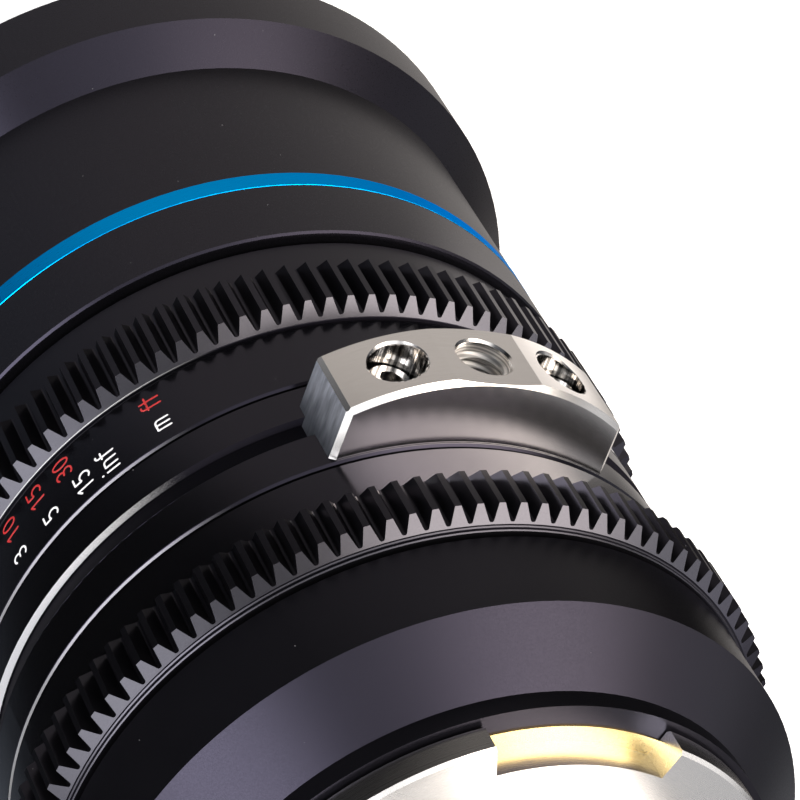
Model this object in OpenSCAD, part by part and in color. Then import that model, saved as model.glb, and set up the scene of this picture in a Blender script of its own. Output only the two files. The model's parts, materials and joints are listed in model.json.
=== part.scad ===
// Cinema prime lens standing on its front rim, rear mount up, support foot towards -Y.
// The optical axis is Z and the origin is the centre of the front rim. Millimetres and degrees.

/* [Front barrel] */
// Step from the rings out to the plain front barrel
barrel_step = 1.55; // [1.4:0.05:2.2]
// Wall of the front barrel
barrel_wall = 2.75; // [2.4:0.05:3]
// Step from the front barrel out to the clamp band at the front rim
band_step = 4.35; // [3.5:0.05:8]
// Length of the clamp band
front_lip = 10; // [8:0.5:10]
// Diameter of the filter thread in the front rim
filter_d = 82; // [81.5:0.5:86]
// Depth of the filter thread
filter_depth = 7; // [5:0.5:8]
// Depth of the front element's seat in the front cell
front_seat = 11; // [10.5:0.5:13]
// Web of the front cell between its two seats
cell_web = 4; // [3:0.5:10]
// Depth of the inner element's seat in the front cell
inner_depth = 11; // [11:0.5:13]
// Height of the coloured accent ring above the barrel
accent_step = 0.05; // [0.05:0.05:1]
// Width of the accent ring
accent_w = 2.6; // [1.5:0.1:3]
// Distance of the accent ring from the rear edge of the barrel
accent_at = 9.65; // [8:0.05:12]
// Depth of the groove that holds the accent ring
accent_depth = 0.95; // [0.5:0.05:1.2]

/* [Rings] */
// Outside diameter of the scale sleeve, index barrel and iris ring
ring_d = 83.2; // [82:0.1:86]
// Thickness of the sleeves over the ring cores
sleeve_t = 1.1; // [0.8:0.1:1.4]
// Wall of the ring cores between the sleeves and the main tube
core_wall = 4.5; // [4.2:0.1:6]
// Step from the rings out to the collar in front of the focus gear
collar_step = 0.55; // [0.3:0.05:0.6]
// Axial seam between neighbouring rings
seam = 0.4; // [0.3:0.05:0.6]
// Length of the scale sleeve behind the focus gear
scale_len = 9.7; // [9:0.1:14]
// Length of the fixed index barrel
index_len = 13.65; // [13:0.05:16]
// Length of the hub behind the teeth of the iris gear
iris_tail = 0.65; // [0.4:0.05:2]
// Length of the rear barrel
rear_len = 20.15; // [19:0.05:26]
// Step from the rings in to the rear barrel
rear_step = 0.2; // [0:0.05:0.8]
// Edge break on the front rim and the camera mount
edge = 0.4; // [0.2:0.05:0.6]
// Edge break on the rear of the front barrel and on the rings behind it
ring_edge = 0.25; // [0.2:0.05:0.6]

/* [Gears] */
// Tooth module of both drive gears
gear_module = 0.8; // [0.8:0.01:0.82]
// Height of the tooth tips above the rings, before rounding to a whole number of teeth
tooth_stand = 2.4; // [2.3:0.05:2.8]
// Length of the tooth land on the focus gear
focus_land = 7.1; // [5:0.1:7.2]
// Length of the tooth land on the iris gear
iris_land = 5.7; // [4:0.1:6]
// Distance of the focus gear from the front of the focus ring
focus_gear_at = 5.3; // [4.5:0.1:6]
// Distance of the iris gear from the front of the iris ring
iris_gear_at = 6.2; // [5:0.05:7]
// Lean of the tooth ends, as axial run for each millimetre of tooth height
tooth_lean = 0.6; // [0.4:0.01:0.7]
// Angle of the first focus gear tooth
focus_phase = 2.37; // [0:0.01:3.3]
// Angle of the first iris gear tooth
iris_phase = 1.55; // [0:0.01:3.3]

/* [Main tube] */
// Wall of the main tube
tube_wall = 2.4; // [2:0.1:2.8]
// Thickness of the tube's front flange
flange_t = 4; // [3:0.5:5]
// Length of tube inside the rear barrel
tube_tail = 5; // [4:0.5:7]

/* [Fits] */
// Radial clearance of a turning or sliding fit
run_gap = 0.05; // [0.02:0.01:0.08]
// Radial clearance of a fixed seat
seat_gap = 0.03; // [0.02:0.01:0.05]
// Axial clearance on each side of an iris blade
blade_gap = 0.1; // [0.05:0.01:0.2]

/* [Focus group] */
// Turn from rest to the near end of the focus scale
focus_near = 143; // [100:1:150]
// Turn from rest to the infinity end of the focus scale
focus_far = 127; // [90:1:130]
// Travel of the focus group over the whole turn
focus_travel = 9.6; // [8.5:0.1:10]
// Cam followers on the focus cell
follower_count = 3; // [2:1:3]
// Diameter of a cam follower
follower_d = 3; // [2.5:0.1:3]
// Depth of the helical groove in the focus ring
groove_depth = 2; // [1.5:0.1:2.4]
// Length of the focus cell
cell_len = 20; // [19:0.5:22]
// Wall of the focus cell
cell_wall = 4.5; // [4:0.1:5.5]
// Distance of the followers from the front of the focus cell
follower_at = 4.5; // [4:0.1:6]

/* [Iris] */
// Number of iris blades
blade_count = 8; // [7:1:8]
// Turn of the iris ring from wide open to closed
iris_turn = 60; // [50:1:60]
// Turn of the iris ring from wide open to the rest position
iris_rest = 24; // [10:1:40]
// Turn of a blade from wide open to closed
blade_turn = 32; // [28:1:33]
// Distance of the blade pivots from the bore of the main tube
pivot_inset = 2.6; // [2.6:0.1:3]
// Distance from the blade pivots in to the edge of the wide open iris
iris_band = 12; // [11.5:0.1:12.5]
// Width of a blade
blade_w = 7; // [6.5:0.1:7.5]
// Thickness of a blade
blade_t = 0.15; // [0.1:0.01:0.2]
// Sweep of a blade around the axis
blade_sweep = 118; // [110:1:122]
// Distance of the drive pin from the pivot
blade_arm = 6; // [5.5:0.1:6.2]
// Diameter of the blade pins
blade_pin_d = 1; // [0.8:0.1:1]
// Thickness of the iris housing plate and of the cam plate
iris_plate_t = 1.4; // [1.2:0.1:1.6]
// Diameter of the pin that drives the cam ring
drive_pin_d = 3; // [2.5:0.1:3.2]

/* [Support foot] */
// Length of the foot around the barrel
foot_len = 33.8; // [32:0.1:38]
// Width of the foot along the axis
foot_w = 10.6; // [10:0.1:11]
// Height of the flat on the foot above the rings
foot_height = 7.7; // [7.2:0.1:9]
// Length of the flat on the foot
foot_flat = 10.4; // [10:0.1:12]
// Radius of the crowned outline that the flat is cut into
foot_arc_r = 30; // [29:0.1:32]
// Bevel on the upright edges of the foot
foot_bevel = 0.6; // [0.4:0.1:1.2]
// Bevel of the long edges of the foot
foot_edge = 0.6; // [0.5:0.05:0.9]
// Diameter of the tapped support hole
support_d = 6.35; // [6.35, 9.525]
// Depth of the support hole
support_depth = 7; // [6:0.5:7]
// Distance of a screw from the middle of the foot
foot_screw_at = 10.15; // [9.8:0.05:11]
// Diameter of the foot screws
foot_screw_d = 3; // [2.5:0.5:3]
// Depth of a counterbore below the flat on the foot
foot_sink = 6.6; // [6:0.1:6.8]
// Distance of the foot from the rear of the index barrel
foot_setback = 0.45; // [0.3:0.05:0.6]
// Depth of the locating groove in the index barrel
groove_t = 1.15; // [1:0.05:2]
// Width of the locating groove
groove_w = 3.2; // [3:0.1:5]
// Distance of the locating groove from the front of the index barrel
groove_at = 5.05; // [3.8:0.05:6]

/* [Camera mount] */
// Diameter of the locating barrel
locate_d = 54; // [54:0.01:54.02]
// Length of the locating barrel
locate_len = 8; // [6:0.5:10]
// Step from the locating barrel out to the waist between the lugs
waist_step = 3.25; // [3:0.05:3.5]
// Step from the waist out to the four lugs
lug_step = 3.75; // [3.4:0.05:4]
// Thickness of the lug flange
lug_t = 3.8; // [3.4:0.1:4.5]
// Angle covered by each lug
lug_sweep = 52; // [45:1:60]
// Thickness of the shim under the flange
shim_t = 0.2; // [0.1:0.05:0.5]
// Length of the rear tube behind the lug flange
tail_len = 17; // [15:0.5:20]
// Ledge between the locating barrel and the heads of the mount screws
screw_ledge = 0.75; // [0.5:0.05:1]

/* [Hidden] */
$fn = 120;
cut = 1;

// Radii, all from the ring diameter
ring_r = ring_d / 2;
core_r = ring_r - sleeve_t;
tube_r = core_r - core_wall;
tube_in = tube_r - tube_wall;
collar_r = ring_r + collar_step;
barrel_r = ring_r + barrel_step;
barrel_in = barrel_r - barrel_wall;
front_r = barrel_r + band_step;
filter_r = filter_d / 2;
accent_r = barrel_r + accent_step;
accent_in = barrel_r - accent_depth;
cell_r = tube_in - run_gap;
cell_in = cell_r - cell_wall;
rear_r = ring_r - rear_step;
locate_r = locate_d / 2;
waist_r = locate_r + waist_step;
lug_r = waist_r + lug_step;

// Gear teeth: a whole number that brings the tips nearest to their height above the rings
gear_teeth = round(2 * (ring_r + tooth_stand) / gear_module) - 2;
tip_r = gear_module * (gear_teeth + 2) / 2;
tooth_depth = 2.2 * gear_module;
root_r = tip_r - tooth_depth;
tooth_foot = 0.05;
tooth_foot_r = root_r - tooth_foot;
tooth_over = 0.5;
root_half = 1.386 * gear_module;
toe_half = 1.224 * gear_module;
toe_h = 0.09 * gear_module;
fillet_half = 1.124 * gear_module;
fillet_h = 0.3 * gear_module;
pitch_half = 0.8 * gear_module;
tip_half = 0.45 * gear_module;
over_half = 0.28 * gear_module;
hub_bevel = 0.12;
focus_heel = 0.25;
iris_heel = 0.45;
focus_heel_r = ring_r + focus_heel;
iris_heel_r = ring_r + iris_heel;

// Screws
small_screw_d = 2.5;
small_head_d = 4.5;
small_head_t = 2.2;
small_key = 2;
screw_margin = 1;
flange_screw_d = 2;
flange_head_d = 3.8;
flange_head_t = 2;
flange_key = 1.5;
head_drop = 0.2;
head_bevel = 0.07;
socket_floor = 0.45;
set_screw_d = 2.5;
set_screw_short = 0.6;
scale_screw_d = 2;
scale_screw_at = 1.8;
hidden_angles = [50, 120, 190];

// Front group
shoulder_t = 5;
bezel_t = 2;
bezel_lean = 1;
glass_edge = 3;
glass_rim = 0.6;
inner_edge = 8;
ring_lip = 2;
retainer_t = 3;
head_room = 3.65;
cell_side = 4.4;
glass_step = 4;
z_cell = filter_depth + bezel_t;
z_front_seat = z_cell + front_seat;
z_inner_seat = z_front_seat + cell_web;
z_shoulder = z_inner_seat + inner_depth;
z_flange = z_shoulder + shoulder_t;
z_flange_top = z_flange + flange_t;
front_len = z_flange_top + flange_head_t + head_room;
accent_z = front_len - accent_at - accent_w;
shoulder_in = tube_r - 1;
flange_screw_r = (tube_r + barrel_in) / 2;
front_glass_r = barrel_in - cell_side;
front_bulge = 2.5 * front_glass_r;
front_hollow = 3.3 * front_glass_r;
inner_glass_r = front_glass_r - glass_step;
inner_front_hollow = 8 * inner_glass_r;
inner_rear_hollow = 3.6 * inner_glass_r;

// Heights of the ring joints along the axis
focus_gear_w = tooth_run(tooth_foot_r) + focus_land + tooth_run(focus_heel_r);
iris_gear_w = tooth_run(tooth_foot_r) + iris_land + tooth_run(iris_heel_r) + iris_tail;
z_focus = front_len + seam;
z_scale = z_focus + focus_gear_at + focus_gear_w + 2 * seat_gap;
z_focus_end = z_scale + scale_len;
z_index = z_focus_end + seam;
z_index_end = z_index + index_len;
z_iris = z_index_end + seam;
z_iris_end = z_iris + iris_gear_at + iris_gear_w + 2 * seat_gap;
z_rear = z_iris_end + seam;
z_rear_end = z_rear + rear_len;
z_lug = z_rear_end + shim_t;
z_seat = z_lug + lug_t;
z_top = z_seat + tail_len;
z_tube_end = z_rear + tube_tail;
z_rear_screw = z_rear + tube_tail / 2 + set_screw_short;

// Thrust rings beside the turning rings
thrust_w = 3;
thrust_t = 1.8;
thrust_out = tube_r + thrust_w;
thrust_pocket = thrust_t - seam + run_gap;
thrust_faces = [z_focus, z_focus_end, z_iris, z_iris_end];

// Focus drive
focus_turn = focus_near + focus_far;
focus_rate = focus_travel / focus_turn;
follower_gap = 0.08;
follower_angle = 30;
follower_drop = 0.2;
follower_hold = 3;
follower_z = 12.35;
groove_steps = 12;
groove_over = 0.4;
z_follow = z_focus + follower_z;
near_drop = focus_rate * focus_near;
far_rise = focus_rate * focus_far;
follower_tip = tube_r + groove_depth - follower_drop;
follower_root = cell_r - follower_hold;
cell_lip_at = 10;
cell_lip_t = 1.5;
z_focus_cell = z_follow - follower_at;
z_focus_cell_end = z_focus_cell + cell_len;
z_cell_lip = z_focus_cell + cell_lip_at;
focus_glass_r = cell_in - seat_gap;
focus_glass_edge = 3;
focus_front_bulge = 2.1 * focus_glass_r;
focus_front_hollow = 4.1 * focus_glass_r;
focus_rear_hollow = 2.8 * focus_glass_r;
focus_rear_bulge = 1.9 * focus_glass_r;
spacer_w = 1.5;
spacer_t = 2;
spacer_r = focus_glass_r - spacer_w;
focus_retainer_t = 1.5;
focus_retainer_lip = 0.5;
z_rear_glass = z_cell_lip + cell_lip_t;
z_spacer = z_rear_glass + focus_glass_edge
    + sag(focus_rear_bulge, focus_glass_r) - sag(focus_rear_bulge, spacer_r);

// Iris stack
pivot_circle_r = tube_in - pivot_inset;
iris_open_r = pivot_circle_r - iris_band;
iris_ratio = blade_turn / iris_turn;
blade_rest = iris_ratio * iris_rest;
blade_pitch = blade_t + blade_gap;
blade_out = iris_open_r + blade_w;
iris_out = tube_in - seat_gap;
iris_plate_at = 2.2;
iris_plate_lip = 0.5;
z_iris_plate = z_iris + iris_plate_at;
z_blades = z_iris_plate + iris_plate_t + blade_gap;
z_cam = z_blades + blade_count * blade_pitch + blade_gap;
z_cam_plate_top = z_cam + iris_plate_t;
cam_rim_h = drive_pin_d + 2;
cam_rim_w = 3;
z_cam_end = z_cam_plate_top + cam_rim_h;
z_drive = z_cam_plate_top + cam_rim_h / 2;
z_cover = z_cam_end + 2 * blade_gap;
cover_t = 1.5;
cover_lip = 1;
cam_out = tube_in - run_gap;
cam_in = iris_open_r + 2;
cam_rim_in = cam_out - cam_rim_w;
pin_reach = 0.2;
drive_pin_hold = 0.5;
cam_slot_w = blade_pin_d + 2 * blade_gap;
cam_steps = 12;
cam_over = 2;
drive_angle = 100;
pivot = [pivot_circle_r, 0];
arm_angle = 2 * asin(blade_arm / 2 / pivot_circle_r);
drive_pin = pivot_circle_r * [cos(arm_angle), sin(arm_angle)];
blade_eye_d = 2.4 * blade_pin_d;
blade_neck = 0.6 * blade_pin_d;
blade_lap = 0.5;

// Support foot
foot_reach = ring_r + foot_height;
foot_mid_z = z_index_end - foot_setback - foot_w / 2;
foot_half = foot_len / 2;
flat_half = foot_flat / 2;
foot_arc_at = foot_reach - sqrt(pow(foot_arc_r, 2) - pow(flat_half, 2));
foot_end_reach = foot_arc_at + sqrt(pow(foot_arc_r, 2) - pow(foot_half, 2));
foot_face_r = foot_arc_r - foot_edge;
foot_arc_flare = 4;
foot_end_break = 0.35;
foot_head_d = foot_screw_d + 2.5;
foot_key = 2.5;
foot_sink_d = foot_head_d + 0.8;
sink_break = 0.28;
foot_rim_tilt = asin(foot_screw_at / foot_arc_r);
foot_bite = 1.7;
groove_r = ring_r - groove_t;
foot_thread_len = foot_reach - foot_sink + foot_bite - sqrt(pow(groove_r, 2) - pow(foot_screw_at, 2));
foot_root = groove_r * cos(asin(foot_half / groove_r)) - 1;
z_groove = z_index + groove_at;
z_groove_mid = z_groove + groove_w / 2;

// Rear group
rear_cell_wall = 3;
rear_cell_side = 5;
rear_cell_at = 1;
rear_lip = 2;
rear_wall = 4;
neck_len = 9;
neck_margin = 0.8;
rear_cell_r = locate_r + rear_cell_wall;
rear_glass_r = rear_cell_r - rear_cell_side;
rear_glass_edge = 4;
rear_glass_bulge = 2.4 * rear_glass_r;
rear_glass_hollow = 5.6 * rear_glass_r;
z_rear_cell = z_tube_end + rear_cell_at;
z_rear_cell_end = z_rear_end - rear_wall - seat_gap;
z_rear_glass_end = z_rear_cell_end - rear_lip;
rear_taper_z = z_rear_end - neck_len;
rear_neck_r = lug_r + neck_margin;
mount_screw_r = locate_r + screw_ledge + small_head_d / 2;
mount_bite = rear_wall - screw_margin;
mount_screw_len = lug_t - small_head_t + shim_t + mount_bite;
mount_key_w = 3;
mount_key_depth = 2;
shim_inset = 1.75;
locate_wall = 3.5;
rear_tube_wall = 2;
last_inset = 2.5;
last_lip = 1.5;
last_lip_t = 1;
last_edge = 4;
last_at = 8;
rear_tube_r = locate_r - locate_wall;
rear_bore_r = rear_tube_r - rear_tube_wall;
last_glass_r = rear_bore_r - last_inset;
last_front_bulge = 3.7 * last_glass_r;
last_rear_bulge = 5.8 * last_glass_r;
last_lip_r = last_glass_r - last_lip;
z_last = z_seat + last_at;
z_last_lip = z_last + sag(last_rear_bulge, last_glass_r) - sag(last_rear_bulge, last_lip_r);

function turned(p, a) = [p[0] * cos(a) - p[1] * sin(a), p[0] * sin(a) + p[1] * cos(a)];
function sag(radius, r) = radius - sqrt(radius * radius - r * r);

// Ring between two radii and two heights
module ring(r_in, r_out, z0, z1) {
    rotate_extrude()
        polygon([[r_in, z0], [r_out, z0], [r_out, z1], [r_in, z1]]);
}

// Ring whose outer edges are broken by b
module broken_ring(r_in, r_out, z0, z1, b) {
    rotate_extrude()
        polygon([[r_in, z0], [r_out - b, z0], [r_out, z0 + b],
                 [r_out, z1 - b], [r_out - b, z1], [r_in, z1]]);
}

// Places children on a radius at an angle, with their X pointing outwards
module around(angle, z) {
    rotate([0, 0, angle])
        translate([0, 0, z])
            children();
}

// Radial rod along X from one radius to another
module radial_rod(d, r0, r1) {
    translate([r0, 0, 0])
        rotate([0, 90, 0])
            cylinder(d = d, h = r1 - r0, $fn = 48);
}

// Socket screw along -Z with its head's underside at the origin
module socket_screw(d, head_d, head_t, len, key) {
    bevel = head_bevel * head_d;
    difference() {
        union() {
            cylinder(d = head_d, h = head_t - bevel, $fn = 48);
            translate([0, 0, head_t - bevel])
                cylinder(d1 = head_d, d2 = head_d - 2 * bevel, h = bevel, $fn = 48);
            translate([0, 0, -len])
                cylinder(d = d, h = len + head_t / 2, $fn = 48);
        }
        translate([0, 0, head_t * socket_floor])
            cylinder(d = key / cos(30), h = head_t, $fn = 6);
    }
}

// Headless set screw along X with a hexagon socket in its outer end
module set_screw(d, r0, r1) {
    difference() {
        radial_rod(d, r0, r1);
        translate([r1 - d * 0.6, 0, 0])
            rotate([0, 90, 0])
                cylinder(d = d * 0.55, h = d, $fn = 6);
    }
}

// Glass disc: a cylinder whose two faces are spheres, bulging forwards when positive.
// A hollow face has a narrow flat rim.
module lens(r, z0, z1, front_radius, rear_radius) {
    f = abs(front_radius);
    b = abs(rear_radius);
    reach = sag(min(f, b), r) + cut;
    difference() {
        intersection() {
            translate([0, 0, z0 - reach])
                cylinder(r = r, h = z1 - z0 + 2 * reach);
            if (front_radius > 0)
                translate([0, 0, z0 - sag(f, r) + f])
                    sphere(r = f, $fn = 160);
            if (rear_radius < 0)
                translate([0, 0, z1 + sag(b, r) - b])
                    sphere(r = b, $fn = 160);
            if (front_radius <= 0)
                translate([0, 0, z0])
                    cylinder(r = r + cut, h = z1 - z0 + reach);
            if (rear_radius >= 0)
                translate([0, 0, z0 - reach])
                    cylinder(r = r + cut, h = z1 - z0 + reach);
        }
        if (front_radius < 0)
            translate([0, 0, z0 + sag(f, r - glass_rim) - f])
                sphere(r = f, $fn = 160);
        if (rear_radius > 0)
            translate([0, 0, z1 - sag(b, r - glass_rim) + b])
                sphere(r = b, $fn = 160);
    }
}

module front_barrel() {
    color([0.07, 0.07, 0.08])
        difference() {
            rotate_extrude($fn = 180)
                polygon([
                    [filter_r, 0], [front_r - edge, 0], [front_r, edge], [front_r, front_lip],
                    [barrel_r, front_lip + front_r - barrel_r],
                    [barrel_r, accent_z], [accent_in, accent_z],
                    [accent_in, accent_z + accent_w], [barrel_r, accent_z + accent_w],
                    [barrel_r, front_len - ring_edge], [barrel_r - ring_edge, front_len],
                    [barrel_in, front_len], [barrel_in, z_flange],
                    [shoulder_in, z_flange], [shoulder_in, z_shoulder],
                    [barrel_in, z_shoulder], [barrel_in, filter_depth], [filter_r, filter_depth]]);
            barrel_screw_places(z_shoulder - cut)
                cylinder(d = flange_screw_d + 2 * seat_gap, h = shoulder_t + 2 * cut, $fn = 48);
        }
}

module accent_ring() {
    color([0.05, 0.35, 0.75])
        broken_ring(accent_in + seat_gap, accent_r, accent_z + seat_gap, accent_z + accent_w - seat_gap,
                    accent_step);
}

module front_bezel() {
    color([0.05, 0.05, 0.05])
        rotate_extrude()
            polygon([[front_glass_r, filter_depth + bezel_lean], [barrel_in - seat_gap, filter_depth],
                     [barrel_in - seat_gap, z_cell], [front_glass_r - bezel_lean, z_cell]]);
}

module front_cell() {
    bore_r = front_glass_r + seat_gap;
    color([0.09, 0.09, 0.1])
        rotate_extrude()
            polygon([
                [bore_r, z_cell], [barrel_in - seat_gap, z_cell], [barrel_in - seat_gap, z_shoulder],
                [inner_glass_r + seat_gap, z_shoulder], [inner_glass_r + seat_gap, z_inner_seat],
                [inner_glass_r - ring_lip, z_inner_seat], [inner_glass_r - ring_lip, z_front_seat],
                [bore_r, z_front_seat]]);
}

module front_element() {
    color([0.6, 0.75, 0.8, 0.35])
        lens(front_glass_r, z_front_seat - glass_edge, z_front_seat, front_bulge, front_hollow);
}

module front_retainer() {
    touch_r = front_glass_r - ring_lip;
    z_touch = z_front_seat - glass_edge - sag(front_bulge, front_glass_r) + sag(front_bulge, touch_r);
    color([0.06, 0.06, 0.06])
        ring(touch_r, front_glass_r, z_touch - retainer_t, z_touch);
}

module front_inner_element() {
    color([0.6, 0.75, 0.8, 0.35])
        lens(inner_glass_r, z_inner_seat, z_inner_seat + inner_edge,
             -inner_front_hollow, inner_rear_hollow);
}

module front_inner_retainer() {
    z0 = z_inner_seat + inner_edge;
    color([0.06, 0.06, 0.06])
        ring(inner_glass_r - ring_lip, inner_glass_r, z0, z0 + retainer_t);
}

// The four screws that hold the tube's flange on the barrel's shoulder
module barrel_screw_places(z) {
    for (i = [0:3])
        around(45 + 90 * i, z)
            translate([flange_screw_r, 0, 0])
                children();
}

module main_barrel() {
    slide_w = follower_d + 2 * run_gap;
    slide_z0 = z_follow - near_drop - follower_d / 2 - follower_gap;
    slide_z1 = z_follow + far_rise + follower_d / 2 + follower_gap;
    pin_sweep = 2 * asin((drive_pin_d / 2 + follower_gap) / tube_in);
    color([0.12, 0.12, 0.13])
        difference() {
            union() {
                ring(tube_in, tube_r, z_flange, z_tube_end);
                ring(tube_in, barrel_in - seat_gap, z_flange, z_flange_top);
            }
            barrel_screw_places(z_flange - cut)
                cylinder(d = flange_screw_d + 2 * seat_gap, h = flange_t + 2 * cut, $fn = 48);
            for (i = [0:follower_count - 1])
                around(follower_angle + i * 360 / follower_count, slide_z0)
                    translate([tube_in - cut, -slide_w / 2, 0])
                        cube([tube_wall + 2 * cut, slide_w, slide_z1 - slide_z0]);
            rotate([0, 0, drive_angle - iris_rest - pin_sweep / 2])
                rotate_extrude(angle = iris_turn + pin_sweep)
                    translate([tube_in - cut, z_drive - drive_pin_d / 2 - run_gap])
                        square([tube_wall + 2 * cut, drive_pin_d + 2 * run_gap]);
            for (a = hidden_angles) {
                around(a, z_groove_mid)
                    radial_rod(set_screw_d + 2 * seat_gap, tube_in - cut, tube_r + cut);
                around(a, z_rear_screw)
                    radial_rod(set_screw_d + 2 * seat_gap, tube_in - cut, tube_r + cut);
            }
        }
}

module barrel_screws() {
    color([0.7, 0.7, 0.7])
        barrel_screw_places(z_flange_top)
            socket_screw(flange_screw_d, flange_head_d, flange_head_t,
                         flange_t + shoulder_t - screw_margin, flange_key);
}

module thrust_rings() {
    color([0.85, 0.83, 0.75])
        for (i = [0:3]) {
            before = i == 0 || i == 2;
            z0 = before ? thrust_faces[i] - run_gap - thrust_t : thrust_faces[i] + run_gap;
            ring(tube_r + seat_gap, thrust_out, z0, z0 + thrust_t);
        }
}

module index_barrel() {
    color([0.03, 0.03, 0.03])
        difference() {
            rotate_extrude($fn = 180)
                polygon([
                    [thrust_out + seat_gap, z_index],
                    [ring_r - ring_edge, z_index], [ring_r, z_index + ring_edge],
                    [ring_r, z_groove], [groove_r, z_groove],
                    [groove_r, z_groove + groove_w], [ring_r, z_groove + groove_w],
                    [ring_r, z_index_end - ring_edge], [ring_r - ring_edge, z_index_end],
                    [thrust_out + seat_gap, z_index_end],
                    [thrust_out + seat_gap, z_index_end - thrust_pocket],
                    [tube_r + seat_gap, z_index_end - thrust_pocket],
                    [tube_r + seat_gap, z_index + thrust_pocket],
                    [thrust_out + seat_gap, z_index + thrust_pocket]]);
            for (side = [-1, 1])
                foot_screw_place(side)
                    translate([0, 0, -foot_reach])
                        cylinder(d = foot_screw_d + 2 * seat_gap, h = foot_reach, $fn = 48);
            for (a = hidden_angles)
                around(a, z_groove_mid)
                    radial_rod(set_screw_d + 2 * seat_gap, tube_r, ring_r);
        }
}

module index_screws() {
    color([0.25, 0.25, 0.25])
        for (a = hidden_angles)
            around(a, z_groove_mid)
                set_screw(set_screw_d, tube_in + set_screw_short, groove_r - head_drop);
}

// Outward axis of a foot screw, with the plane of the flat at Z = 0
module foot_screw_place(side) {
    translate([side * foot_screw_at, -foot_reach, foot_mid_z])
        rotate([90, 0, 0])
            children();
}

// Outward normal of the crown over a foot screw, with the crown at Z = 0
module foot_rim_place(side) {
    translate([0, -foot_arc_at, foot_mid_z])
        rotate([90, 0, side * foot_rim_tilt])
            translate([0, 0, foot_arc_r])
                children();
}

// Edge break of a hole of diameter d in a face at Z = 0
module sink_cone(d) {
    translate([0, 0, -sink_break])
        cylinder(d1 = d, d2 = d + 4 * sink_break, h = 2 * sink_break, $fn = 64);
}

module support_foot() {
    z0 = foot_mid_z - foot_w / 2;
    z1 = foot_mid_z + foot_w / 2;
    end_x = foot_half - foot_end_break;
    end_y = foot_arc_at + sqrt(pow(foot_arc_r, 2) - pow(end_x, 2));
    bed_r = ring_r + seat_gap;
    color([0.72, 0.7, 0.68])
        difference() {
            intersection() {
                translate([0, 0, z0])
                    linear_extrude(foot_w)
                        difference() {
                            intersection() {
                                polygon([[-end_x, -foot_reach], [end_x, -foot_reach], [end_x, -end_y],
                                         [foot_half, foot_end_break - foot_end_reach],
                                         [foot_half, -foot_root], [-foot_half, -foot_root],
                                         [-foot_half, foot_end_break - foot_end_reach],
                                         [-end_x, -end_y]]);
                                translate([0, -foot_arc_at])
                                    circle(r = foot_arc_r, $fn = 180);
                            }
                            circle(r = groove_r + seat_gap, $fn = 180);
                        }
                translate([0, -foot_arc_at, 0])
                    rotate_extrude($fn = 160)
                        polygon([[0, z0], [foot_face_r, z0],
                                 [foot_face_r + foot_arc_flare, z0 + foot_arc_flare],
                                 [foot_face_r + foot_arc_flare, z1 - foot_arc_flare],
                                 [foot_face_r, z1], [0, z1]]);
                translate([0, 0, foot_mid_z])
                    rotate([90, 0, 0])
                        linear_extrude(foot_reach + cut)
                            polygon([for (s = [[-1, -1], [1, -1], [1, 1], [-1, 1]], k = [0, 1])
                                (k == (s[0] == s[1] ? 0 : 1)
                                    ? [s[0] * foot_half, s[1] * (foot_w / 2 - foot_bevel)]
                                    : [s[0] * (foot_half - foot_bevel), s[1] * foot_w / 2])]);
            }
            ring(0, bed_r, z0 - cut, z_groove + seat_gap);
            ring(0, bed_r, z_groove + groove_w - seat_gap, z1 + cut);
            translate([0, -foot_reach, foot_mid_z])
                rotate([90, 0, 0]) {
                    translate([0, 0, -support_depth])
                        cylinder(d = support_d, h = support_depth + cut, $fn = 64);
                    sink_cone(support_d);
                }
            for (side = [-1, 1]) {
                foot_screw_place(side) {
                    translate([0, 0, -foot_sink])
                        cylinder(d = foot_sink_d, h = foot_sink + cut, $fn = 64);
                    translate([0, 0, -foot_reach / 2])
                        cylinder(d = foot_screw_d + 2 * seat_gap, h = foot_reach / 2, $fn = 48);
                }
                foot_rim_place(side)
                    sink_cone(foot_sink_d / cos(foot_rim_tilt));
            }
        }
}

module foot_screws() {
    color([0.8, 0.78, 0.74])
        for (side = [-1, 1])
            foot_screw_place(side)
                translate([0, 0, -foot_sink])
                    socket_screw(foot_screw_d, foot_head_d, foot_screw_d, foot_thread_len, foot_key);
}

module rear_barrel() {
    color([0.05, 0.05, 0.05])
        difference() {
            rotate_extrude($fn = 180)
                polygon([
                    [thrust_out + seat_gap, z_rear],
                    [rear_r - ring_edge, z_rear], [rear_r, z_rear + ring_edge],
                    [rear_r, rear_taper_z], [rear_neck_r, rear_taper_z + rear_r - rear_neck_r],
                    [rear_neck_r, z_rear_end], [rear_cell_r + seat_gap - rear_lip, z_rear_end],
                    [rear_cell_r + seat_gap - rear_lip, z_rear_end - rear_wall],
                    [rear_cell_r + seat_gap, z_rear_end - rear_wall],
                    [rear_cell_r + seat_gap, z_tube_end + seat_gap],
                    [tube_r + seat_gap, z_tube_end + seat_gap], [tube_r + seat_gap, z_rear + thrust_pocket],
                    [thrust_out + seat_gap, z_rear + thrust_pocket]]);
            for (a = hidden_angles)
                around(a, z_rear_screw)
                    radial_rod(set_screw_d + 2 * seat_gap, tube_r, rear_r + cut);
            mount_screw_places(z_rear_end - mount_bite - head_drop)
                cylinder(d = small_screw_d + 2 * seat_gap, h = mount_bite + head_drop + cut, $fn = 48);
        }
}

module rear_screws() {
    color([0.25, 0.25, 0.25])
        for (a = hidden_angles)
            around(a, z_rear_screw)
                set_screw(set_screw_d, tube_in + set_screw_short, rear_r - head_drop);
}

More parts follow.
